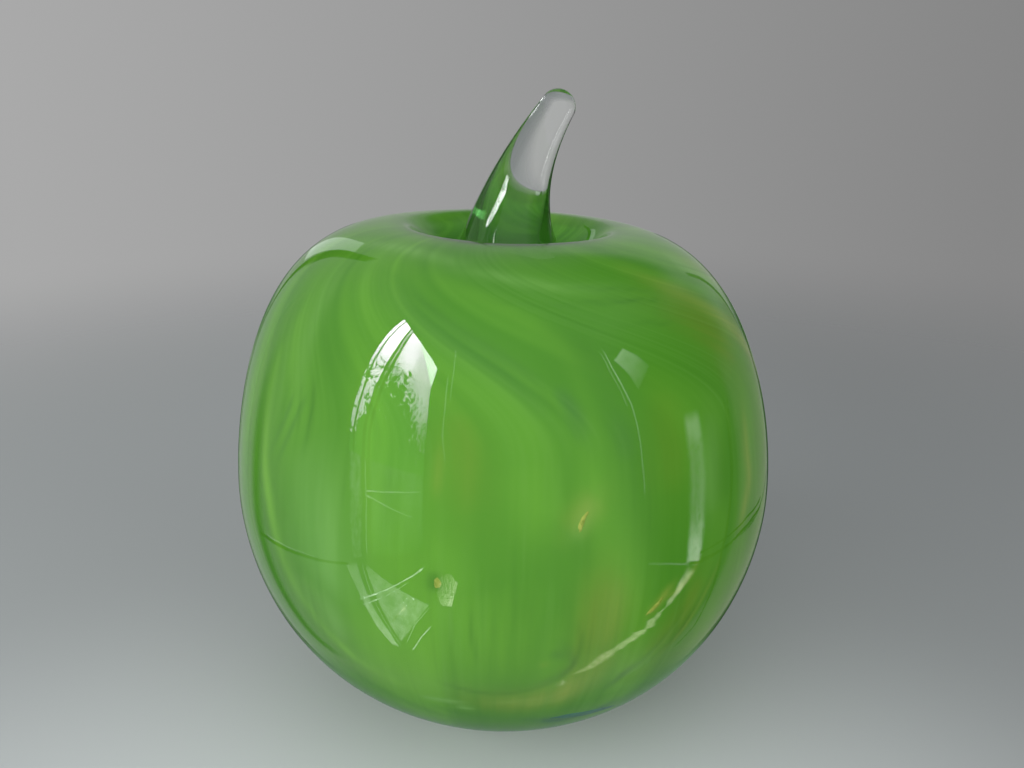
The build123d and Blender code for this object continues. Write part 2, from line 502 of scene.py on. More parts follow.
# Colour coat, closed over the dimple's floor, and its lining
COAT_SEGMENTS, LINING_SEGMENTS = 460, 120
COAT_POINTS, COAT_POLE_SHARE = (90, 90, 16), 0.01
LINING_POINTS = (24, 26, 8)
coat_profile = profile_of(COAT_SIDE, COAT_BOTTOM, COAT_POINTS, COAT_POLE_SHARE)
coat_floor = np.array([[coat_profile[-1, 0] * s, coat_profile[-1, 1]] for s in (0.75, 0.5, 0.25)])
coat_profile = np.concatenate([coat_profile, coat_floor])
coat_turned = rings_of(coat_profile, COAT_SEGMENTS)
lining_profile = profile_of(CORE_SIDE, CORE_BOTTOM, LINING_POINTS, POLE_SHARE)
parts = ([], [], [])
add_surface(parts, blown(coat_turned), 0, close_start=True, close_end=True)
lining = blown(rings_of(lining_profile, LINING_SEGMENTS))
add_surface(parts, lining[::-1], 0, close_start=True, close_end=True)
coat = mesh_object("colour_coat", parts, [COAT])

# How the colour was drawn out: streaks run up the sides and turn round the axis near the top
TWIST = math.radians(75)
TWIST_FROM_MM, TWIST_SPAN_MM, TWIST_POWER = 104.0, 42.0, 2.2
TWIST_FROM, TWIST_SPAN = TWIST_FROM_MM * MM, TWIST_SPAN_MM * MM
STILL_AZIMUTH, STILL_REACH = math.radians(-80), math.radians(38)


def flow_of(points):
    """The streaks' own coordinates of points on the coat: two round the body and one along the streak."""
    away = points - AXIS_FOOT
    height = away @ AXIS
    azimuth = np.arctan2(away @ ACROSS, -(away @ BACK))
    still = (azimuth - STILL_AZIMUTH + math.pi) % (2 * math.pi) - math.pi
    turning = 1 - 0.85 * np.exp(-((still / STILL_REACH) ** 2))
    rise = np.clip((height - TWIST_FROM) / TWIST_SPAN, 0, 1)
    radius = np.hypot(away @ ACROSS, away @ BACK)
    inside = np.clip(1 - radius / CREST_RADIUS, 0, 1)
    turned = azimuth + TWIST * turning * (rise**TWIST_POWER + 0.8 * inside)
    along = height / BODY_RADIUS + 0.5 * inside
    return np.stack([np.sin(turned), np.cos(turned), along], -1)


# Bands of colour of each kind: width in mm, strength, and the line of azimuths and heights in mm
BANDS = {
    "deep": [
        (2.2, 0.55, [(-61, 140), (-60, 129), (-60, 110), (-59, 98), (-57, 84), (-53, 72), (-49, 62)]),
        (1.6, 0.5, [(-51, 116), (-51, 107), (-52, 98)]),
        (2.0, 0.6, [(-56, 68), (-51, 59), (-43, 47), (-35, 36), (-23, 29), (-12, 25)]),
        (1.2, 0.7, [(-49, 142), (-32, 141), (-17, 137), (-9, 134), (1, 129), (8, 123), (13, 116), (16, 109),
                     (18, 102)]),
        (7.0, 0.85, [(12, 133), (20, 126), (27, 117), (31, 106), (33, 96)]),
        (8.0, 0.8, [(10, 138), (25, 136), (41, 131), (53, 124), (60, 112)]),
        (5.0, 0.9, [(53, 108), (52, 98), (50, 86)]),
        (0.9, 0.7, [(10, 142), (28, 142), (45, 141), (66, 137)]),
        (1.1, 0.75, [(-12, 142), (-3, 141), (7, 140), (16, 139), (36, 136), (48, 131)]),
        (1.6, 0.55, [(30, 133), (41, 133), (50, 129)]),
        (4.2, 0.65, [(19, 132), (20, 126), (23, 118), (24, 111)]),
        (5.0, 0.55, [(27, 109), (31, 98), (34, 90), (33, 80)]),
        # A painted reflection: this thin dark line down the right side mirrors a dark edge
        (1.3, 0.7, [(60, 135), (57, 124), (54, 110), (51, 95), (50, 79), (48, 65), (44, 53)]),
        (1.6, 0.4, [(-17, 31), (-8, 28), (3, 26), (17, 26)]),
        (7.0, 0.4, [(10, 92), (9, 82), (8, 72)]),
    ],
    "light": [
        (2.4, 0.75, [(-59, 126), (-58, 110), (-56, 92), (-52, 79), (-48, 66), (-44, 56)]),
        (1.8, 0.6, [(-47, 64), (-40, 51), (-31, 42), (-19, 36)]),
        (2.6, 0.3, [(-27, 143), (-10, 140), (3, 136), (12, 130), (16, 120), (19, 110)]),
        (7.0, 0.25, [(3, 104), (6, 92), (7, 82)]),
        (13.0, 0.45, [(-3, 74), (0, 62), (3, 51), (6, 42)]),
        (6.0, 0.4, [(-30, 126), (-27, 110), (-25, 92), (-22, 76)]),
    ],
    "milk": [
        (3.0, 0.35, [(-59, 142), (-53, 134), (-49, 122), (-45, 106)]),
        (12.0, 0.55, [(-44, 101), (-38, 89), (-35, 74), (-33, 60)]),
        (7.0, 0.55, [(-42, 67), (-38, 57), (-32, 48)]),
        (2.0, 0.4, [(-23, 144), (-3, 143), (14, 141), (31, 140)]),
        (4.0, 0.45, [(46, 112), (44, 98), (43, 84)]),
        (1.1, 0.85, [(-18, 34), (-12, 34), (-7, 34)]),
        (1.1, 0.8, [(-2, 35), (5, 36), (11, 37), (15, 40)]),
        (0.6, 0.5, [(15, 38), (18, 39), (21, 41)]),
        (0.9, 0.4, [(43, 62), (38, 53), (33, 46), (27, 41)]),
        (2.4, 0.4, [(17, 95), (14.7, 89), (12, 84)]),
        (0.7, 0.35, [(-24, 60), (-25, 72), (-25, 84)]),
        (0.7, 0.3, [(-8, 52), (-9, 62), (-9, 74), (-8, 84)]),
        (1.1, 0.8, [(-10, 32), (-8, 31.7), (-5, 31.5)]),
        (1.6, 0.55, [(2, 36), (8, 34.8), (13, 36), (17, 38)]),
        (2.4, 0.55, [(-70, 144), (-50, 145), (-30, 145), (-10, 144)]),
    ],
    "shade": [
        (0.8, 0.6, [(-43, 118), (-42, 110), (-42, 103), (-43, 96)]),
        (0.5, 0.5, [(-47, 117), (-46, 111), (-45, 104), (-45, 97)]),
        (0.8, 0.35, [(-35, 141), (-20, 137), (-10, 133), (0, 128), (7, 121), (11, 114)]),
        (0.7, 0.3, [(-28, 138), (-18, 134), (-8, 129), (0, 124), (5, 118)]),
        (0.7, 0.45, [(-7, 139), (8, 138), (24, 138), (40, 137), (53, 134)]),
        (0.7, 0.4, [(3, 136), (17, 134), (33, 133), (50, 131)]),
        (0.7, 0.3, [(14, 141), (32, 140), (54, 137)]),
        (0.7, 0.3, [(6, 133), (15, 130), (25, 129), (38, 128)]),
        (0.7, 0.6, [(15, 62), (16, 56), (15, 49), (12, 44), (7, 41), (0, 39), (-7, 40), (-13, 42)]),
        (0.8, 0.4, [(46, 67), (43, 57), (39, 49), (33, 43)]),
        (0.8, 0.3, [(40, 60), (36, 51), (31, 45), (25, 40)]),
        (0.8, 0.4, [(24, 38), (29, 42), (34, 48), (38, 55)]),
        (2.4, 0.6, [(-11.7, 71), (-11.7, 74), (-11.7, 77)]),
        (0.7, 0.35, [(-27, 125), (-30, 112), (-31, 100), (-31, 88)]),
        (0.7, 0.3, [(-4, 50), (-5, 60), (-5, 72)]),
        (8.0, 0.28, [(6, 134), (14, 131), (21, 124), (25, 114)]),
        (7.0, 0.25, [(38, 137), (52, 133), (58, 124)]),
        (5.0, 0.22, [(45, 112), (46, 98), (45, 84)]),
    ],
    "teal": [
        (0.8, 0.8, [(-44, 113), (-47, 103), (-51, 91)]),
        (0.7, 0.6, [(-48, 113), (-50, 104), (-54, 93)]),
        (5.2, 0.55, [(-44, 141), (-30, 138), (-20, 134), (-10, 130), (-2, 126), (4, 121), (9, 113)]),
        (2.4, 0.8, [(10, 122), (13, 116), (16, 108)]),
        (3.0, 0.6, [(22, 116), (24, 109), (25, 103)]),
        (1.4, 0.8, [(12, 57), (14, 53), (15, 49), (12, 45), (7, 42)]),
        (1.6, 0.6, [(10, 54), (12, 53), (14, 52)]),
        (1.5, 0.7, [(24, 36), (27, 41), (31, 45)]),
    ],
    "olive": [
        (7.0, 0.75, [(41, 138), (51, 133), (57, 126), (61, 117)]),
        (6.0, 0.32, [(32, 120), (33, 105), (32, 92)]),
        (6.0, 0.45, [(-11, 115), (-8, 104), (-6, 90)]),
        (5.0, 0.75, [(19, 78), (18, 67), (18, 57), (17, 49)]),
        (5.0, 0.7, [(43, 68), (40, 59), (36, 51), (31, 45)]),
    ],
    "amber": [
        (2.2, 0.6, [(60, 108), (58, 98), (58, 90), (56, 83), (54, 77)]),
        (1.0, 0.7, [(41, 73), (39, 68), (36, 65), (33, 64), (30, 62)]),
        (1.3, 0.6, [(-12, 107), (-12, 101), (-12, 95)]),
        (3.6, 0.45, [(18, 95), (15, 91), (12, 86)]),
        (0.7, 0.5, [(8, 50), (9, 50), (10, 50)]),
        (5.4, 0.75, [(-6, 36), (1, 35), (9, 36), (16, 40), (20, 47), (24, 54)]),
        (4.5, 0.5, [(21, 50), (22, 58), (22, 66), (20, 74)]),
        (0.9, 0.5, [(48, 70), (45, 60), (41, 51), (35, 44)]),
        (1.4, 0.9, [(35, 68), (33, 65), (31, 62), (30, 60)]),
    ],
    "blued": [
        (2.6, 0.85, [(9, 26), (17, 24), (25, 25), (34, 29)]),
    ],
}


def coat_line(places, count=40):
    """A smooth line of world points on the turned coat through azimuths and heights."""
    p = np.array(places, float)
    p = np.concatenate([[2 * p[0] - p[1]], p, [2 * p[-1] - p[-2]]])
    t = np.linspace(0, len(places) - 1 - 1e-9, count)
    i = t.astype(int)
    s = (t - i)[:, None]
    a, b, c, d = p[i], p[i + 1], p[i + 2], p[i + 3]
    line = 0.5 * (2 * b + (c - a) * s + (2 * a - 5 * b + 4 * c - d) * s**2 + (3 * b - a - 3 * c + d) * s**3)
    outside = coat_profile[: np.argmax(coat_profile[:, 1]) + 1]
    heights = np.clip(line[:, 1] * MM, outside[0, 1], outside[-1, 1])
    radii = np.interp(heights, outside[:, 1], outside[:, 0])
    return on_body(radii, heights, np.radians(line[:, 0]))


def band_strength(points, line, width):
    """How strongly a band along line colours each point, fading at its edges and its two ends."""
    best = np.full(len(points), 1e9)
    share = np.zeros(len(points))
    for k in range(len(line) - 1):
        a, b = line[k], line[k + 1]
        ab = b - a
        t = np.clip(((points - a) @ ab) / max(ab @ ab, 1e-12), 0, 1)
        d = np.linalg.norm(points - a - t[:, None] * ab, axis=1)
        nearer = d < best
        best[nearer] = d[nearer]
        share[nearer] = (k + t[nearer]) / (len(line) - 1)
    ends = np.sin(math.pi * np.clip(share, 0.02, 0.98)) ** 0.6
    return np.exp(-((best / width) ** 2)) * ends


WAVES, WAVE_RATE = 5, 55


def wandering(points, amount, rng):
    """Points shifted by a few slow waves, so that band edges waver as drawn glass does."""
    moved = points.copy()
    for _ in range(WAVES):
        direction = rng.normal(size=3)
        wave = rng.normal(size=3) * WAVE_RATE
        phase = rng.uniform(0, 2 * math.pi)
        moved += amount * np.sin(points @ wave + phase)[:, None] * direction / np.linalg.norm(direction)
    return moved


# Azimuths, heights and lengths that the seeded bands are drawn from, in degrees and mm
UNSEEN_AZIMUTHS, UNSEEN_HEIGHTS, UNSEEN_LENGTHS = (78, 286), (35, 125), (18, 50)
UNSEEN_WIDTHS, UNSEEN_STRENGTHS, UNSEEN_SLANT = (1.2, 6.0), (0.4, 0.8), 7
BAND_PLACES, BAND_TOP, BAND_TWIST = 5, 143, 48


def seeded_bands(rng, count):
    """Bands for the sides and back that the photograph doesn't show, drawn along the same flow."""
    made = []
    kinds = ["milk", "deep", "teal", "light", "olive", "amber", "deep", "milk"]
    for k in range(count):
        azimuth = rng.uniform(*UNSEEN_AZIMUTHS)
        height = rng.uniform(*UNSEEN_HEIGHTS)
        length = rng.uniform(*UNSEEN_LENGTHS)
        slant = rng.normal(0, UNSEEN_SLANT)
        line = []
        for s in np.linspace(0, 1, BAND_PLACES):
            h = min(height + length * s, BAND_TOP)
            turn = BAND_TWIST * max(0.0, (h - TWIST_FROM_MM) / TWIST_SPAN_MM) ** TWIST_POWER
            line.append((azimuth - turn + slant * s, h))
        width, strength = rng.uniform(*UNSEEN_WIDTHS), rng.uniform(*UNSEEN_STRENGTHS)
        made.append((kinds[k % len(kinds)], width, strength, line))
    return made


SEEDED_BANDS, WAVER = 54, 0.5 * MM
rng = np.random.default_rng(7)
turned_points = np.concatenate([
    coat_turned.reshape(-1, 3), coat_turned[:1].mean(1), coat_turned[-1:].mean(1),
])
outside = slice(len(turned_points))
count_all = len(coat.data.vertices)
wavering = wandering(turned_points, WAVER, rng)
painted = {kind: np.zeros(count_all, np.float32) for kind in COAT_COLOURS}


def paint(kind, strengths):
    """Paints a kind on the coat's outside, where it isn't already stronger."""
    painted[kind][outside] = np.maximum(painted[kind][outside], strengths)


front_bands = [(kind, *band) for kind, bands in BANDS.items() for band in bands]
for kind, width, strength, places in front_bands + seeded_bands(rng, SEEDED_BANDS):
    paint(kind, band_strength(wavering, coat_line(places), width * MM) * strength)

# Darker in the dimple, most at its back wall and under the stem: thicker colour and painted shade
away = turned_points - AXIS_FOOT
well_radius = np.hypot(away @ ACROSS, away @ BACK)
behind = np.clip(0.5 + (away @ BACK) / CREST_RADIUS, 0, 1)
upper = away @ AXIS > WIDEST
dimple_shade = np.clip(((1.08 + 0.1 * behind) * CREST_RADIUS - well_radius) / (0.4 * CREST_RADIUS), 0, 1) * upper
paint("deep", 0.75 * dimple_shade)
# Painted shade is strongest under the stem's foot, where the stem keeps light off the coat
shade_under_stem = np.clip((1.6 * STEM_FOOT_RADIUS - well_radius) / (0.4 * STEM_FOOT_RADIUS), 0, 1)
paint("shade", np.maximum((0.6 + 0.3 * behind) * dimple_shade, 2.0 * shade_under_stem * upper))
for kind, values in painted.items():
    coat.data.attributes.new(kind, "FLOAT", "POINT").data.foreach_set("value", values)
flow_values = np.zeros((count_all, 3), np.float32)
flow_values[outside] = flow_of(turned_points)
coat.data.attributes.new("flow", "FLOAT_VECTOR", "POINT").data.foreach_set("vector", flow_values.ravel())

# Inner gather
GATHER_POINTS, GATHER_SEGMENTS = (30, 30, 8), 120
parts = ([], [], [])
gather_outer = blown(rings_of(profile_of(CORE_SIDE, CORE_BOTTOM, GATHER_POINTS, POLE_SHARE), GATHER_SEGMENTS))
hollow_profile = profile_of(HOLLOW_SIDE, HOLLOW_BOTTOM, GATHER_POINTS, POLE_SHARE)
gather_inner = blown(rings_of(hollow_profile, GATHER_SEGMENTS))
neck = azimuths(GATHER_SEGMENTS)
neck_outer = on_body(NECK_RADIUS, FLOOR_HEIGHT - CORE_SIDE, neck)
neck_inner = on_body(NECK_RADIUS, FLOOR_HEIGHT - HOLLOW_SIDE, neck)
gather_rings = np.concatenate([gather_outer, neck_outer[None], neck_inner[None], gather_inner[::-1]])
add_surface(parts, gather_rings, 0, close_start=True, close_end=True)
gather = mesh_object("core_gather", parts, [CORE_CLEAR])

# Stem
SHAFT_RINGS, TIP_RINGS, ROOT_RINGS, STEM_SEGMENTS = 90, 14, 7, 120
stem_tip = np.array([STEM_REACH, FLOOR_HEIGHT + STEM_RISE])
tip_direction = np.array([math.sin(STEM_TIP_ANGLE), math.cos(STEM_TIP_ANGLE)])
STEM_LINE = [
    (0, FLOOR_HEIGHT),
    (0, FLOOR_HEIGHT + STEM_FOOT_HANDLE),
    tuple(stem_tip - STEM_TIP_HANDLE * tip_direction),
    tuple(stem_tip),
]


def stem_rings(segments):
    """Rings of the stem's shaft and rounded tip, in the plane of its bend."""
    t = np.linspace(0, 1, SHAFT_RINGS)
    line = bezier(STEM_LINE, t)
    tangent = np.gradient(line, axis=0)
    tangent[0] = (0, 1)
    tangent[-1] = tip_direction
    tangent /= np.linalg.norm(tangent, axis=1, keepdims=True)
    radius = STEM_FOOT_RADIUS * (STEM_TIP_RADIUS / STEM_FOOT_RADIUS) ** (t**STEM_TAPER_POWER)
    for s in np.linspace(0, 1, TIP_RINGS)[1:-1]:
        turn = s * math.pi / 2
        beyond = stem_tip + tip_direction * TIP_SHARE * STEM_TIP_RADIUS * math.sin(turn)
        line = np.concatenate([line, [beyond]])
        tangent = np.concatenate([tangent, [tip_direction]])
        radius = np.append(radius, STEM_TIP_RADIUS * math.cos(turn))
    a = azimuths(segments)
    side = np.stack([tangent[:, 1], -tangent[:, 0]], -1)
    flat = line[:, None] + radius[:, None, None] * np.sin(a)[None, :, None] * side[:, None]
    depth = -radius[:, None] * np.cos(a)[None]
    return AXIS_FOOT + flat[..., :1] * ACROSS + flat[..., 1:] * AXIS + depth[..., None] * BACK


parts = ([], [], [])
shaft = stem_rings(STEM_SEGMENTS)
around = azimuths(STEM_SEGMENTS)
root_depth = HOLLOW_SIDE + ROOT_OVERHANG
root = [on_body(NECK_RADIUS, FLOOR_HEIGHT, around), on_body(NECK_RADIUS, FLOOR_HEIGHT - COAT_SIDE, around)]
buried = [root[-1], on_body(NECK_RADIUS, FLOOR_HEIGHT - root_depth + ROOT_ROUND, around)]
for s in np.linspace(0, 1, ROOT_RINGS)[1:]:
    turn = s * math.pi / 2
    r = NECK_RADIUS - ROOT_ROUND * (1 - math.cos(turn))
    buried.append(on_body(r, FLOOR_HEIGHT - root_depth + ROOT_ROUND * (1 - math.sin(turn)), around))
add_surface(parts, np.stack(buried[::-1]), 0, close_start=True)
add_surface(parts, np.stack([root[1], root[0], shaft[0]]), 1)
add_surface(parts, shaft, 0, close_end=True)
stem = mesh_object("stem_glass", parts, [STEM_CLEAR, FUSED])

# Chips: azimuth, elevation from the body's middle, lean to the viewer's right in degrees, half its length,
# half its width and its bend in mm
YELLOW_CHIPS = [
    (14.7, 10.6, 24, 3.0, 0.62, 0.5),
    (30.5, -9.8, 46, 3.4, 0.65, -0.4),
    (-11.7, -0.8, 5, 1.4, 1.0, 0.0),
]
BLUE_CHIPS = [(23.0, -42.8, 96, 9.8, 2.3, 0.8)]
CHIP_SEGMENTS = 72
# A chip's rings: share of its half length and half width, and height over the coat in mm
CHIP_SECTION = ((1.0, -0.5), (0.97, -0.12), (0.9, 0.02), (0.75, 0.1), (0.5, 0.15), (0.2, 0.17))


def coat_at(direction):
    """Where a ray from the body's middle meets the coat, before the swellings."""
    height = direction @ AXIS
    flat = np.sqrt(np.clip(1 - height**2, 0, 1))
    outside = coat_profile[: np.argmax(coat_profile[:, 1]) + 1]
    elevation = np.arctan2(outside[:, 1] - WIDEST, outside[:, 0])
    distance = np.interp(np.arctan2(height, flat), elevation, np.hypot(outside[:, 0], outside[:, 1] - WIDEST))
    return MIDDLE + direction * distance[..., None]


def chip_rings(azimuth, elevation, turn, half_length, half_width, bend, rng):
    """A small lens of coloured glass that lies in the coat and stands a little way into the casing."""
    a, e = math.radians(azimuth), math.radians(elevation)
    out = np.array([math.sin(a) * math.cos(e), -math.cos(a) * math.cos(e), math.sin(e)])
    across = np.cross((0, 0, 1), out)
    across /= np.linalg.norm(across)
    up = np.cross(out, across)
    c, s = math.cos(math.radians(turn)), math.sin(math.radians(turn))
    wide, long = across * c - up * s, up * c + across * s
    psi = azimuths(CHIP_SEGMENTS)
    rim = 1 + sum(rng.uniform(0.03, 0.1) * np.sin(k * psi + rng.uniform(0, 6.3)) for k in (2, 3, 5, 7))
    rings = []
    for share, lift in CHIP_SECTION:
        x = half_width * share * rim * np.cos(psi)
        y = half_length * share * rim * np.sin(psi)
        x = x + bend * (y / half_length) ** 2
        direction = out * (WIDEST / MM) + x[:, None] * wide + y[:, None] * long
        direction /= np.linalg.norm(direction, axis=1, keepdims=True)
        rings.append(blown(coat_at(direction)) + direction * lift * MM)
    return np.stack(rings)


def chips(name, places, material, seed):
    rng = np.random.default_rng(seed)
    parts = ([], [], [])
    for place in places:
        add_surface(parts, chip_rings(*place, rng), 0, close_start=True, close_end=True)
    return mesh_object(name, parts, [material])


yellow = chips("yellow_chips", YELLOW_CHIPS, YELLOW, 3)
blue = chips("blue_streak", BLUE_CHIPS, BLUE, 5)

for piece, node, slot in (
    (casing, "clear_casing", "clear_glass"),
    (coat, "green_colour_coat", "green_glass"),
    (gather, "inner_gather", "core_glass"),
    (stem, "stem", "stem_glass"),
    (yellow, "yellow_glass_chips", "yellow_glass"),
    (blue, "blue_glass_streak", "blue_glass"),
):
    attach(piece, "root")
    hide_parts(node)

# Floor and backdrop, each paler towards the left, the floor also in a pool in front: painted light and shade
STUDIO, BACKDROP_LIT_LEFT, BACKDROP_SHADED_RIGHT = 0.40, 0.400, 0.240
FLOOR_FULL, FLOOR_GONE = 0.18, 0.9
FLOOR_IN_LIGHT_POOL, FLOOR_FAR, FLOOR_SHADED_RIGHT = (0.620, 0.655, 0.665), (0.385, 0.410, 0.415), (0.290, 0.308, 0.313)
LIGHT_POOL_CENTRE = (-0.03, -0.17, 0)
floor_material, tree = new_material("pale_floor")
place = object_place(tree)
# A painted pool of light in front of the body, and painted shade towards the right
from_light_pool = add(tree, "VectorMath", {0: place, 1: LIGHT_POOL_CENTRE}, operation="DISTANCE").outputs["Value"]
shaded_rightward = eased(tree, add(tree, "SeparateXYZ", {0: place}).outputs["X"], -0.08, 0.28)
far_tone = mix_colour(tree, shaded_rightward, FLOOR_FAR, FLOOR_SHADED_RIGHT)
matt = matt_shader(tree, mix_colour(tree, eased(tree, from_light_pool, 0.04, 0.30), FLOOR_IN_LIGHT_POOL, far_tone), 0.6)
away = add(tree, "VectorMath", {0: place}, operation="LENGTH").outputs["Value"]
surface(tree, add(tree, "MixShader", {
    0: eased(tree, away, FLOOR_FULL, FLOOR_GONE), 1: matt.outputs[0],
    2: add(tree, "BsdfTransparent").outputs[0],
}))
bpy.ops.mesh.primitive_circle_add(vertices=64, radius=FLOOR_GONE, fill_type="NGON", location=(0, 0, 0))
floor = bpy.context.object
floor.name = "floor"
floor.data.materials.append(floor_material)
floor.visible_glossy = False

world = bpy.data.worlds.new("studio")
bpy.context.scene.world = world
world.use_nodes = True
tree = world.node_tree
backdrop = tree.nodes["Background"]
backdrop.inputs["Color"].default_value = (1.0, 1.0, 1.0, 1)
# Painted shade: the backdrop that the camera sees is darker towards the right
sideways = add(tree, "SeparateXYZ", {0: add(tree, "TexCoord").outputs["Generated"]}).outputs["X"]
behind_all = scaled(tree, sideways, -0.42, 0.42, BACKDROP_LIT_LEFT, BACKDROP_SHADED_RIGHT)
to_camera = add(tree, "LightPath").outputs["Is Camera Ray"]
tree.links.new(scaled(tree, to_camera, 0.0, 1.0, STUDIO, behind_all), backdrop.inputs["Strength"])


def softbox(name, centre, towards, width, height, radiance):
    """A rectangular lamp of that radiance that lights surfaces and leaves no highlight."""
    lamp = bpy.data.lights.new(name, "AREA")
    lamp.shape = "RECTANGLE"
    lamp.size, lamp.size_y = width, height
    lamp.energy = radiance * width * height * math.pi
    made = bpy.data.objects.new(name, lamp)
    bpy.context.scene.collection.objects.link(made)
    made.location = centre
    made.rotation_mode = "QUATERNION"
    made.rotation_quaternion = (Vector(towards) - Vector(centre)).to_track_quat("-Z", "Y")
    made.visible_camera = False
    made.visible_glossy = False
    made.visible_transmission = False


softbox("left_light", (-0.55, -0.68, 0.5), (0, -0.1, 0.1), 1.0, 0.8, 2.45)
softbox("right_light", (0.75, -0.7, 0.45), (0, 0, 0.06), 0.9, 0.8, 1.62)
softbox("front_light", (-0.05, -0.95, 0.3), (0, -0.2, 0), 0.9, 0.4, 0.9)
softbox("top_light", (0, -0.2, 1.3), (0, 0, 0.1), 1.2, 1.2, 0.45)

# What the fire polished glass mirrors: a tall window with a tree outside it, behind the viewer's left
# shoulder, its image in the shelf below, a smaller window on the right, and the posts of a cabinet.
# Each is a glowing card that shows only in gloss. It lights nothing and isn't seen through the glass.
ROWS, COLUMNS = 60, 36


def glow_material(tint, mottle=0.0, mottle_scale=10.0, adds=False):
    """Light of this tint, as bright as its card says, mottled, and clear where the card fades out.

    With adds it is clear all over and only adds its light.
    """
    material, tree = new_material("glow")
    mottled = noise(tree, object_place(tree), mottle_scale, 6.0, 0.65)
    uneven = scaled(tree, mottled, 0.35, 0.65, 1 - mottle, 1 + mottle)
    strength = times(tree, painted_value(tree, "radiance"), uneven)
    glow = add(tree, "Emission", {"Color": (*tint, 1), "Strength": strength})
    clear = add(tree, "BsdfTransparent").outputs[0]
    shown = add(tree, "MixShader", {0: painted_value(tree, "cover"), 2: glow.outputs[0]})
    if adds:
        shown = add(tree, "AddShader", {0: clear, 1: shown.outputs[0]})
    else:
        tree.links.new(clear, shown.inputs[1])
    surface(tree, shown)
    return material


def window_material():
    """Bright sky behind a tree: leaves wherever the card's sky value, roughened, is below nought."""
    material, tree = new_material("window_view")
    place = object_place(tree)
    edge = painted_value(tree, "sky")
    for scale, amount in ((5.0, 2.0), (13.0, 3.4), (32.0, 3.6)):
        rough = scaled(tree, noise(tree, place, scale, 4.0), 0.32, 0.68, -amount, amount)
        edge = add(tree, "Math", {0: edge, 1: rough}, operation="ADD").outputs[0]
    clouded = scaled(tree, noise(tree, place, 2.2, 3.0), 0.38, 0.62, 0.8, 1.1)
    share = scaled(tree, edge, -0.5, 0.5)
    lit = times(tree, painted_value(tree, "radiance"), clouded)
    strength = add(tree, "Mix", {"Factor": share, "A": LEAVES, "B": lit}).outputs["Result"]
    tint = mix_colour(tree, share, LEAF_TINT, SKY_TINT)
    surface(tree, add(tree, "Emission", {"Color": tint, "Strength": strength}))
    return material


def smooth(value):
    """From 0 to 1 with level ends."""
    value = np.clip(value, 0, 1)
    return value * value * (3 - 2 * value)


def along_line(points, count):
    """This many points, evenly by their order, along the runs between the given ones."""
    points = np.array(points, float)
    t = np.linspace(0, len(points) - 1, count)
    return np.stack([np.interp(t, np.arange(len(points)), points[:, k]) for k in range(3)], -1)


ALL_BUT_STEM = bpy.data.collections.new("all_but_stem")
ALL_BUT_STEM.objects.link(stem)
ALL_BUT_STEM.collection_objects[0].light_linking.link_state = "EXCLUDE"
STEM_ONLY = bpy.data.collections.new("stem_only")
STEM_ONLY.objects.link(stem)


def card(
    name, first, second, radiances, material, side_fade=0.0, end_fade=0.0,
    sky=None, lights=ALL_BUT_STEM, end_radiances=None,
):
    """A card ruled between two lines, with its radiances along them, faded out at its sides and ends."""
    a, b = along_line(first, ROWS), along_line(second, ROWS)
    s = np.linspace(0, 1, COLUMNS)[None, :, None]
    grid = a[:, None] * (1 - s) + b[:, None] * s
    i, j = np.meshgrid(np.arange(ROWS - 1), np.arange(COLUMNS - 1), indexing="ij")
    corner = (i * COLUMNS + j).reshape(-1, 1)
    faces = corner + np.array([[0, 1, COLUMNS + 1, COLUMNS]])
    mesh = bpy.data.meshes.new(name)
    mesh.from_pydata(grid.reshape(-1, 3).tolist(), [], faces.tolist())
    mesh.materials.append(material)
    material.cycles.emission_sampling = "NONE"
    t = np.linspace(0, 1, ROWS)[:, None]
    s = s[..., 0]
    start, end = (
        np.interp(t, np.linspace(0, 1, len(side)), side) for side in (radiances, end_radiances or radiances)
    )
    cover = np.ones((ROWS, COLUMNS))
    if side_fade:
        cover *= smooth(np.minimum(s, 1 - s) / side_fade)
    if end_fade:
        cover *= smooth(np.minimum(t, 1 - t) / end_fade)
    values = {"radiance": start * (1 - s) + end * s, "cover": cover}
    if sky is not None:
        values["sky"] = sky(grid[..., 1], grid[..., 2])
    for key, value in values.items():
        painted_points = mesh.attributes.new(key, "FLOAT", "POINT").data
        painted_points.foreach_set("value", value.ravel().astype(np.float32))
    made = bpy.data.objects.new(name, mesh)
    bpy.context.scene.collection.objects.link(made)
    made.visible_camera = False
    made.visible_diffuse = False
    made.visible_shadow = False
    made.visible_transmission = False
    made.light_linking.receiver_collection = lights


def stripe(name, points, offset, radiances, material, side_fade=0.3, end_fade=0.06):
    """A card along a line of points, reaching offset to either side."""
    offset = np.array(offset)
    points = np.array(points, float)
    card(name, points - offset, points + offset, radiances, material, side_fade, end_fade)


def on_wall(wall, places):
    return [(wall, y, z) for y, z in places]


def wall_card(name, wall, first, second, *rest, **more):
    """A card between two lines of Y and Z on the wall at this X."""
    card(name, on_wall(wall, first), on_wall(wall, second), *rest, **more)


def wall_stripe(name, wall, places, offset, *rest, **more):
    """A stripe along a line of Y and Z on the wall at this X."""
    stripe(name, on_wall(wall, places), (0, *offset), *rest, **more)


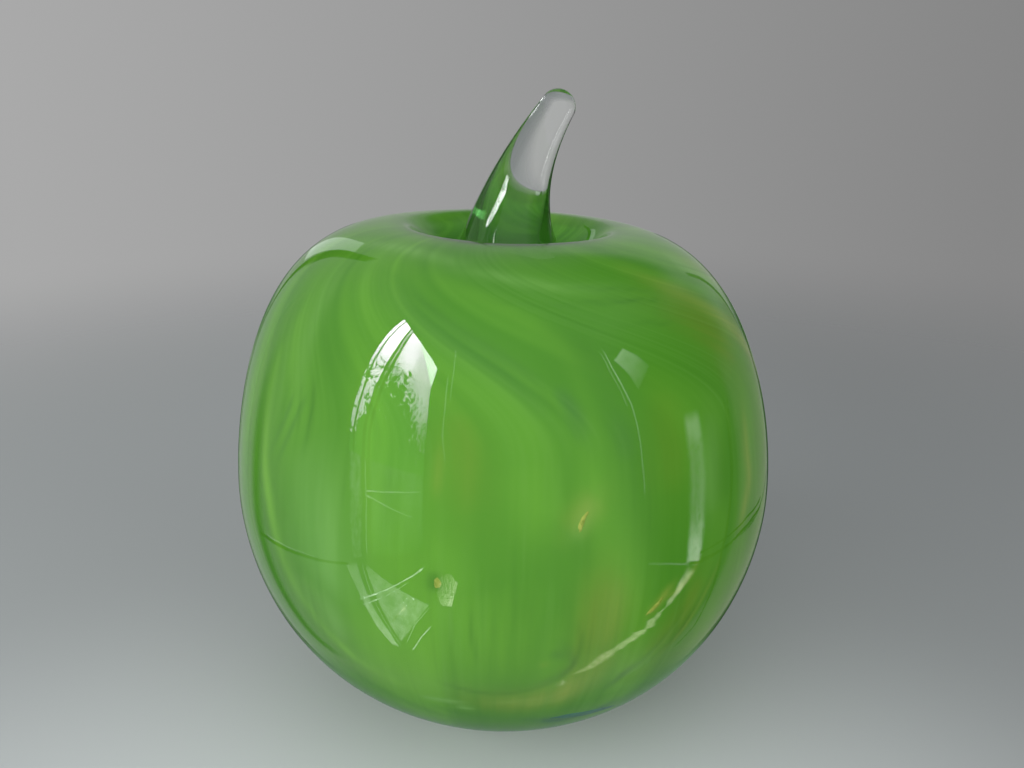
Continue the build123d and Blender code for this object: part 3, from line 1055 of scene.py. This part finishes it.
LEAVES, LEAF_TINT, SKY_TINT = 1.1, (0.55, 1.0, 0.5), (1.02, 0.78, 1.10)
LEFT_WALL, RIGHT_WALL = -1.6, 1.6
LEFT_PANE, RIGHT_PANE = -0.3, 0.3
BACK_WALL = 0.43
WHITE = glow_material((0.94, 1.0, 0.98))
MOTTLED = glow_material((0.94, 1.0, 0.96), 0.55, 14.0)
RAGGED = glow_material((1.0, 1.0, 0.7), 0.35, 9.0)
STREAKED = glow_material((1.0, 1.0, 0.8), 0.7, 4.0)
SOFT = glow_material((0.94, 1.0, 0.92), 0.35, 4.0)
BROKEN = glow_material((1.0, 1.0, 0.8), 0.9, 9.0)
PANE = glow_material((1.0, 1.0, 0.86))
DARK = glow_material((0.5, 1.0, 0.5))
DARK_FLOOR = glow_material((0.75, 1.0, 0.85))
VIEW = window_material()

TREE_TOP = [
    (-2.8, 0.62), (-2.5, 0.72), (-2.25, 0.85), (-2.02, 1.0), (-1.9, 1.12), (-1.72, 1.3), (-1.5, 1.36),
    (-1.3, 1.34), (-1.07, 1.24), (-0.97, 1.0), (-0.86, 0.96), (-0.66, 1.06), (-0.56, 1.2),
]


# A gap in the leaves: its strength, its middle in Y and Z, and its reach each way
GAP, GAP_Y, GAP_Z, GAP_REACH_Y, GAP_REACH_Z = 8.4, -0.80, 0.56, 0.12, 0.3
TREE_EDGE, DEEPEST_LEAVES = 0.09, -6.0


def sky_over_tree(y, z):
    """How far a place on the left wall is above the tree's top or in the gap, below nought in leaves."""
    places = np.array(TREE_TOP)
    gap = GAP * np.exp(-(((y - GAP_Y) / GAP_REACH_Y) ** 2) - ((z - GAP_Z) / GAP_REACH_Z) ** 2)
    over = (z - np.interp(y, places[:, 0], places[:, 1])) / TREE_EDGE
    return np.where(over > 0, over, np.maximum(over, DEEPEST_LEAVES) + gap)


OUTER = [(-0.56, 2.36), (-0.62, 1.67), (-0.67, 1.2), (-0.71, 0.84), (-0.74, 0.4), (-0.8, 0.18)]
MULLION = [(-0.88, 2.36), (-0.97, 1.67), (-0.98, 1.2), (-0.97, 0.84), (-0.97, 0.4), (-1.03, 0.18)]
JAMB = [(-2.42, 2.33), (-2.41, 1.67), (-2.52, 1.2), (-2.58, 0.84), (-2.61, 0.4), (-2.65, 0.18)]
SKY_LEFT, SKY_RIGHT = (26.0, 20.0, 11.0, 6.0, 3.4, 2.0), (9.0, 8.5, 5.4, 2.8, 1.8, 1.5)
STRIP_SKY = (36.0, 31.0, 18.0, 12.0, 7.0, 4.0)


def shifted(places, by):
    return [(y + by, z) for y, z in places]


def window_part(name, first, second, radiances, end_radiances=None):
    first, second = on_wall(LEFT_WALL, first), on_wall(LEFT_WALL, second)
    card(name, first, second, radiances, VIEW, sky=sky_over_tree, end_radiances=end_radiances)


window_part("window_edge", OUTER, shifted(OUTER, -0.06), STRIP_SKY)
window_part("window_strip", shifted(OUTER, -0.09), MULLION, STRIP_SKY)
window_part(
    "window_line", shifted(MULLION, -0.055), shifted(MULLION, -0.095), (12.0, 8.0, 5.0, 3.0, 2.0, 1.6),
)
window_part("window_pane", shifted(MULLION, -0.15), JAMB, SKY_LEFT, SKY_RIGHT)
wall_card(
    "window_return", LEFT_WALL + 0.01,
    [(-1.3, 2.38), (-1.85, 2.1), (-2.38, 1.74)],
    [(-1.36, 2.37), (-2.42, 2.33), (-2.42, 1.74)],
    (16.0, 17.0, 13.0), WHITE, 0.0, 0.06,
)
LOW_OUTER = [(-0.8, 0.18), (-0.86, -0.19), (-0.85, -0.66)]
LOW_MULLION = [(-1.03, 0.18), (-1.11, -0.19), (-1.08, -0.66)]
LOW_JAMB = [(-2.65, 0.18), (-2.68, -0.3), (-2.72, -0.9)]
wall_card("low_window_strip", LEFT_WALL, LOW_OUTER, LOW_MULLION, (1.1, 0.9, 0.7), MOTTLED, 0.2)
wall_stripe("low_window_line", LEFT_WALL, shifted(LOW_MULLION, -0.06), (0.016, 0), (1.5, 1.3), WHITE)
wall_card(
    "low_window_pane", LEFT_WALL, shifted(LOW_MULLION, -0.12), LOW_JAMB, (1.15, 1.0, 0.6),
    glow_material((0.75, 1.0, 0.75), 0.25, 3.0), 0.04, 0.0,
)
wall_stripe(
    "window_wire_a", LEFT_WALL,
    [(-1.12, -0.09), (-1.76, -0.067), (-2.6, -0.045)],
    (0, 0.011), (3.4, 2.4), WHITE,
)
wall_stripe(
    "window_wire_b", LEFT_WALL,
    [(-1.12, -0.12), (-1.4, -0.17), (-1.88, -0.28), (-2.37, -0.38)],
    (0, 0.011), (3.0, 2.0), WHITE,
)
wall_stripe(
    "curtain_edge_near", LEFT_WALL,
    [(-3.06, 4.0), (-3.41, 3.07), (-3.65, 2.0)],
    (0.05, 0), (2.2, 2.6, 1.6), WHITE,
)
wall_stripe(
    "curtain_edge", LEFT_WALL,
    [(-3.13, 2.66), (-3.36, 1.62), (-3.43, 1.0), (-3.79, 0.49)],
    (0.05, 0), (2.4, 1.9, 1.2), WHITE,
)
wall_card(
    "left_haze", LEFT_WALL - 0.1,
    [(-1.1, 0.5), (-1.1, -1.9)],
    [(0.35, 0.5), (0.35, -1.9)],
    (0.5, 0.7, 0.55), glow_material((0.8, 1.0, 0.85), 0.1, 1.5), 0.48, 0.45,
)

# The window's image in the shelf
LOW_STRIP_OUTER = [(-0.71, -0.68), (-0.75, -0.96), (-0.77, -1.29), (-0.74, -1.79), (-0.77, -2.4)]
LOW_STRIP_INNER = [(-0.95, -0.69), (-0.94, -1.15), (-0.94, -1.66), (-0.96, -2.09), (-0.9, -2.59)]
wall_card(
    "shelf_strip", LEFT_WALL, LOW_STRIP_OUTER, LOW_STRIP_INNER, (1.2, 2.2, 2.8, 2.8), SOFT, 0.15, 0.05,
)
wall_stripe(
    "shelf_line", LEFT_WALL,
    [(-1.03, -0.7), (-1.01, -1.3), (-1.0, -2.0), (-0.97, -2.6)],
    (0.014, 0), (1.4, 1.8, 1.6), WHITE,
)
wall_card(
    "shelf_pane", LEFT_WALL,
    [(-1.08, -0.74), (-1.07, -1.6), (-1.03, -2.5)],
    [(-1.1, -0.74), (-1.9, -1.55), (-2.59, -2.24)],
    (1.3, 2.2, 2.8, 2.2), SOFT, 0.04, 0.04,
)
wall_stripe(
    "shelf_rail", LEFT_WALL,
    [(-0.72, -1.27), (-1.36, -1.26), (-2.03, -1.19), (-2.67, -1.16)],
    (0, 0.022), (7.0, 6.0, 6.0, 8.0), MOTTLED,
)
wall_stripe(
    "shelf_rail_low", LEFT_WALL,
    [(-0.72, -1.37), (-1.36, -1.36), (-2.03, -1.29)],
    (0, 0.016), (5.0, 4.0, 2.5), MOTTLED,
)
wall_card(
    "shelf_glow", LEFT_WALL + 0.01,
    [(-1.12, -1.95), (-1.4, -1.86), (-1.75, -1.62)],
    [(-1.12, -1.83), (-1.4, -1.8), (-1.75, -1.95)],
    (2.5, 4.2, 3.4), STREAKED, 0.4, 0.25,
)
wall_card(
    "shelf_patch", LEFT_WALL,
    [(-2.9, -2.22), (-3.25, -1.68), (-3.51, -1.58), (-4.38, -1.94)],
    [(-3.14, -2.64), (-3.9, -3.22), (-4.5, -2.85), (-4.96, -2.48)],
    (0.2, 0.5, 0.9, 1.4), BROKEN, 0.06, 0.08, end_radiances=(2.4, 5.4, 4.2, 3.0),
)
wall_stripe(
    "shelf_scratch_a", LEFT_WALL,
    [(-1.15, -2.945), (-1.708, -2.855), (-2.286, -2.881)],
    (0, 0.028), (5.0, 6.0, 5.0), WHITE,
)
wall_stripe(
    "shelf_scratch_b", LEFT_WALL,
    [(-1.15, -2.618), (-1.746, -2.362), (-2.537, -2.313)],
    (0, 0.016), (2.5, 4.0, 2.5), WHITE,
)
wall_stripe(
    "shelf_scratch_c", LEFT_WALL,
    [(-1.506, -2.358), (-2.011, -2.248), (-2.397, -1.997)],
    (0, 0.014), (2.0, 3.5, 2.0), WHITE,
)
for index, (y, z) in enumerate(((-1.66, -1.69), (-1.82, -1.66), (-2.01, -1.74), (-1.74, -1.78))):
    ends = [(y - 0.02, z), (y + 0.02, z + 0.01)]
    wall_stripe(f"sparkle_{index}", LEFT_WALL, ends, (0, 0.025), (16.0, 16.0), WHITE, 0.3, 0.2)

# The right side
wall_card(
    "right_dusk", RIGHT_WALL + 0.1,
    [(-1.6, 2.4), (-1.6, -3.2)],
    [(2.0, 2.4), (2.0, -3.2)],
    (0.16, 0.16), DARK, 0.3, 0.3,
)
card(
    "ceiling_dusk",
    [(-0.2, -0.1, 1.7), (2.3, -0.1, 1.7)],
    [(-0.2, 2.8, 1.7), (2.3, 2.8, 1.7)],
    (0.17, 0.17), DARK, 0.4, 0.4,
)
wall_stripe(
    "right_strip", RIGHT_WALL,
    [(-1.13, 1.84), (-1.17, 1.35), (-1.14, 0.99), (-1.09, 0.7), (-1.08, 0.41), (-1.09, 0.12), (-1.08, -0.22)],
    (0.018, 0), (4.2, 3.2, 1.6, 1.2), WHITE,
)
wall_stripe(
    "right_strip_near", RIGHT_WALL,
    [(-1.21, 1.84), (-1.25, 1.35), (-1.22, 0.99), (-1.17, 0.7)],
    (0.014, 0), (2.6, 1.6), WHITE,
)
wall_card(
    "right_window", RIGHT_WALL,
    [(-1.07, 1.46), (-0.95, 1.09), (-0.89, 0.76)],
    [(-0.74, 1.49), (-0.6, 1.2), (-0.51, 0.92)],
    (3.4, 1.7, 0.5), SOFT, 0.08, 0.08,
)
wall_card(
    "side_strip", RIGHT_WALL,
    [(-0.34, 0.32), (-0.39, 0.02), (-0.4, -0.29), (-0.36, -0.58), (-0.3, -0.82)],
    [(-0.05, 0.25), (-0.05, 0.0), (-0.06, -0.33), (-0.05, -0.6), (-0.02, -0.84)],
    (2.2, 1.8, 0.8, 0.8, 1.2, 2.6, 3.8, 3.4), SOFT, 0.3, 0.1,
)
rng = np.random.default_rng(21)
GLINT_LEFT = [
    (-0.28, -0.79), (-0.29, -1.09), (-0.32, -1.35), (-0.45, -1.6), (-0.5, -1.87), (-0.62, -2.07),
    (-0.76, -2.55), (-0.95, -3.13), (-1.01, -4.21), (-1.08, -5.21),
]
GLINT_RIGHT = [
    (-0.04, -0.87), (-0.09, -1.05), (-0.2, -1.26), (-0.3, -1.53), (-0.27, -1.79), (-0.29, -1.92),
    (-0.45, -2.35), (-0.53, -2.89), (-0.58, -3.4), (-0.82, -4.53),
]
GLINT_POINTS = 60
RAGGED_LEAST, RAGGED_MORE, RAGGED_AT, RAGGED_REACH = 0.012, 0.035, 26, 8
left_edge, right_edge = (
    along_line(on_wall(RIGHT_WALL, places), GLINT_POINTS) for places in (GLINT_LEFT, GLINT_RIGHT)
)
for edge in (left_edge, right_edge):
    off = (np.arange(GLINT_POINTS) - RAGGED_AT) / RAGGED_REACH
    ragged = RAGGED_LEAST + RAGGED_MORE * np.exp(-(off**2))
    edge[:, 1] += ragged * np.convolve(rng.normal(size=GLINT_POINTS + 2), (0.5, 1.0, 0.5), "valid")
GLINT_RADIANCES = (3.6, 3.0, 2.4, 2.6, 3.0, 2.6, 2.0, 1.2)
card("shelf_edge_glint", left_edge, right_edge, GLINT_RADIANCES, RAGGED, 0.35, 0.05)
wall_card(
    "low_streak", RIGHT_WALL,
    [(-1.13, -7.5), (-1.2, -6.3), (-1.07, -5.2)],
    [(-0.6, -7.3), (-0.55, -6.0), (-0.7, -4.9)],
    (0.8, 1.4, 0.7), STREAKED, 0.45, 0.45,
)

# Thin dark lines of the cabinet's right pane
wall_stripe(
    "second_line", RIGHT_PANE,
    [(0.04, 0.11), (0.03, 0.09), (0.02, 0.02), (0.01, -0.02), (0.01, -0.06), (0.05, -0.15), (0.07, -0.2),
     (0.09, -0.24)],
    (0.004, 0), (0.02, 0.02), DARK, 0.3, 0.03,
)
wall_stripe(
    "crossing_a", RIGHT_PANE - 0.001,
    [(0.25, -0.08), (0.16, -0.06), (0.08, -0.052), (0.01, -0.058), (-0.06, -0.06)],
    (0, 0.003), (0.02, 0.02), DARK, 0.3, 0.02,
)
wall_stripe(
    "crossing_b", RIGHT_PANE - 0.001,
    [(0.24, -0.066), (0.11, -0.042), (0.05, -0.04), (-0.02, -0.042), (-0.07, -0.048)],
    (0, 0.0022), (0.03, 0.03), DARK, 0.3, 0.02,
)

# Painted highlights on the stem only: the window's narrow bow, a green arc low down, and pale edges
GLINT = glow_material((0.97, 1.0, 0.98), 0.25, 3.0, adds=True)
BOW_LEFT = [
    (-0.83, 1.29), (-0.9, 1.28), (-0.92, 1.26), (-0.95, 1.23), (-0.85, 1.17), (-0.7, 1.1), (-0.6, 1.04),
    (-0.56, 1.01), (-0.54, 0.98),
]
BOW_RIGHT = [
    (-1.08, 1.35), (-1.6, 1.49), (-1.87, 1.56), (-2.08, 1.62), (-2.22, 1.68), (-2.12, 1.64), (-1.7, 1.47),
    (-1.35, 1.32), (-0.74, 1.05),
]
wall_card(
    "stem_bow", LEFT_WALL, BOW_LEFT, BOW_RIGHT, (10.0, 24.0, 30.0, 32.0, 30.0, 20.0), GLINT, 0.06, 0.04,
    lights=STEM_ONLY,
)
TIP_OUTER = [(2.35, 1.3), (2.4, 1.39), (2.7, 1.44), (5.02, 1.44), (8.7, 1.44)]
TIP_INNER = [(0.99, 1.36), (1.0, 1.45), (1.2, 1.49), (1.46, 1.51), (1.83, 1.545)]
wall_card(
    "stem_tip_streak", LEFT_WALL, TIP_OUTER, TIP_INNER, (2.5, 5.0, 7.0, 7.0, 4.0), GLINT, 0.3, 0.15,
    lights=STEM_ONLY,
)
# The green arc is a painted highlight for the dimple's light seen through the stem
ARC_UPPER = [
    (3.4, 0.38), (2.04, 0.56), (1.13, 0.685), (0.7, 0.755), (0.42, 0.805), (0.15, 0.865), (-0.3, 0.965),
]
ARC_LOWER = [(3.4, 0.3), (2.04, 0.5), (1.13, 0.64), (0.7, 0.705), (0.42, 0.755), (0.15, 0.81), (-0.3, 0.92)]
wall_card(
    "stem_arc", LEFT_WALL, ARC_UPPER, ARC_LOWER, (4.0, 5.0, 5.5, 5.5, 5.0, 4.5, 3.0),
    glow_material((0.27, 1.0, 0.25), 0.1, 3.0, adds=True), 0.25, 0.1, lights=STEM_ONLY,
)
wall_card(
    "stem_right_band", RIGHT_WALL,
    [(-0.75, 0.05), (-0.75, -0.95)],
    [(2.2, 0.05), (2.2, -0.95)],
    (1.3, 1.5, 1.3), glow_material((0.97, 1.0, 0.99), 0.3, 2.0, adds=True), 0.15, 0.15, lights=STEM_ONLY,
)
wall_card(
    "stem_right_line", RIGHT_WALL,
    [(-0.46, 0.0), (-0.46, -0.85)],
    [(-0.34, 0.0), (-0.34, -0.85)],
    (6.0, 6.0), GLINT, 0.3, 0.1, lights=STEM_ONLY,
)

# The floor as the glass shows it, behind the body between the posts and in the shade under it
card(
    "floor_behind",
    [(-0.01, 0.03, 0.0004), (-1.15, 1.8, 0.0004)],
    [(0.01, 0.03, 0.0004), (1.15, 1.8, 0.0004)],
    (0.22, 0.3, 0.33, 0.35), WHITE,
)
RING_POINTS, RING_RADIUS, RING_LIFT = 61, 0.085, 0.0003
shade_ring = [
    (RING_RADIUS * math.cos(a), RING_RADIUS * math.sin(a), RING_LIFT)
    for a in np.linspace(0, 2 * math.pi, RING_POINTS)
]
ring_middle = [(0.0, 0.0, RING_LIFT)] * RING_POINTS
card("floor_under", shade_ring, ring_middle, (0.24, 0.24), DARK_FLOOR, 0.25)

# The cabinet's panes, posts and shelf edge
wall_card(
    "left_pane_glow", LEFT_PANE,
    [(0.17, 0.3), (0.17, -0.7)],
    [(0.4, 0.3), (0.4, -0.7)],
    (0.42, 0.42, 0.38), WHITE, 0.1, 0.1,
)
wall_stripe(
    "left_pane_edge", LEFT_PANE,
    [(0.1, 0.2), (0.11, -0.02), (0.13, -0.15), (0.14, -0.26), (0.1, -0.36)],
    (0.048, 0), (0.13, 0.13), DARK, 0.5, 0.2,
)
wall_card(
    "right_pane_glow", RIGHT_PANE,
    [(0.03, 0.2), (0.03, -0.6)],
    [(0.4, 0.2), (0.4, -0.6)],
    (0.27, 0.32, 0.3), PANE, 0.1, 0.1,
)
wall_stripe(
    "left_shelf_edge", LEFT_PANE + 0.002,
    [(0.15, -0.072), (0.09, -0.058), (0.022, -0.052), (-0.044, -0.05), (-0.109, -0.052), (-0.174, -0.055),
     (-0.2, -0.057)],
    (0, 0.0045), (0.03, 0.03), DARK, 0.4, 0.15,
)
wall_stripe(
    "left_shelf_glint", LEFT_PANE + 0.002,
    [(0.09, -0.052), (0.022, -0.046), (-0.044, -0.044), (-0.12, -0.046)],
    (0, 0.002), (0.9, 0.9), WHITE, 0.4, 0.2,
)
wall_stripe(
    "right_pane_edge", RIGHT_PANE,
    [(0.026, 0.12), (0.016, 0.02), (0.01, -0.06), (0.047, -0.15), (0.088, -0.24), (0.088, -0.31)],
    (0.006, 0), (0.05, 0.05), DARK, 0.3, 0.05,
)
wall_stripe(
    "right_shelf_edge", RIGHT_PANE,
    [(0.4, -0.095), (0.25, -0.079), (0.08, -0.055), (0.006, -0.058), (-0.055, -0.067), (-0.1, -0.065)],
    (0, 0.0045), (0.05, 0.05), DARK,
)
wall_stripe(
    "right_shelf_glint", RIGHT_PANE,
    [(-0.09, -0.066), (-0.15, -0.062), (-0.22, -0.066)],
    (0, 0.003), (1.1, 0.8), WHITE,
)
stripe(
    "left_post",
    [(-0.335, BACK_WALL, 0.63), (-0.305, BACK_WALL, 0.4), (-0.315, BACK_WALL, 0.25),
     (-0.335, BACK_WALL, 0.1), (-0.345, BACK_WALL, -0.2), (-0.315, BACK_WALL, -0.45),
     (-0.31, BACK_WALL, -0.95)],
    (0.036, 0, 0), (0.04, 0.04), DARK, 0.2, 0.03,
)
stripe(
    "right_post",
    [(0.367, BACK_WALL, 0.34), (0.336, BACK_WALL, 0.23), (0.32, BACK_WALL, 0.13), (0.35, BACK_WALL, 0.0),
     (0.335, BACK_WALL, -0.2), (0.315, BACK_WALL, -0.5), (0.38, BACK_WALL, -0.85), (0.4, BACK_WALL, -1.05)],
    (0.016, 0, 0), (0.03, 0.03), DARK, 0.35, 0.03,
)
wall_card(
    "left_rim_dusk", LEFT_PANE,
    [(0.42, 0.12), (0.42, -0.95)],
    [(1.5, 0.12), (1.5, -0.95)],
    (0.12, 0.12), DARK_FLOOR, 0.06, 0.08,
)
wall_card(
    "right_rim_dusk", RIGHT_PANE,
    [(0.38, 0.12), (0.38, -0.95)],
    [(1.5, 0.12), (1.5, -0.95)],
    (0.05, 0.05), DARK_FLOOR, 0.06, 0.08,
)
card(
    "back_patch",
    [(-0.19, BACK_WALL + 0.01, 0.13), (-0.2, BACK_WALL + 0.01, 0.4)],
    [(-0.28, BACK_WALL + 0.01, 0.2), (-0.285, BACK_WALL + 0.01, 0.47)],
    (1.0, 1.1), WHITE, 0.06, 0.03,
)

# Camera at the photograph's place and angle
CAMERA_PLACE = (0.00258, -0.30985, 0.19841)
CAMERA_PITCH = math.radians(17.426)
CAMERA_YAW = math.radians(0.027)
CAMERA_ROLL = math.radians(0.261)
LENS = 36.914
forward = Vector((
    math.sin(CAMERA_YAW) * math.cos(CAMERA_PITCH),
    math.cos(CAMERA_YAW) * math.cos(CAMERA_PITCH),
    -math.sin(CAMERA_PITCH),
))
right = Vector((math.cos(CAMERA_YAW), -math.sin(CAMERA_YAW), 0))
down = forward.cross(right)
right, down = (
    math.cos(CAMERA_ROLL) * right + math.sin(CAMERA_ROLL) * down,
    -math.sin(CAMERA_ROLL) * right + math.cos(CAMERA_ROLL) * down,
)
camera = bpy.data.objects.new("camera", bpy.data.cameras.new("camera"))
bpy.context.scene.collection.objects.link(camera)
camera.data.lens = LENS
camera.data.sensor_width = 36
camera.data.clip_start = 0.01
turn = Matrix((right, -down, -forward)).transposed()
camera.matrix_world = Matrix.Translation(CAMERA_PLACE) @ turn.to_4x4()
bpy.context.scene.camera = camera
bpy.context.scene.view_settings.view_transform = "Standard"
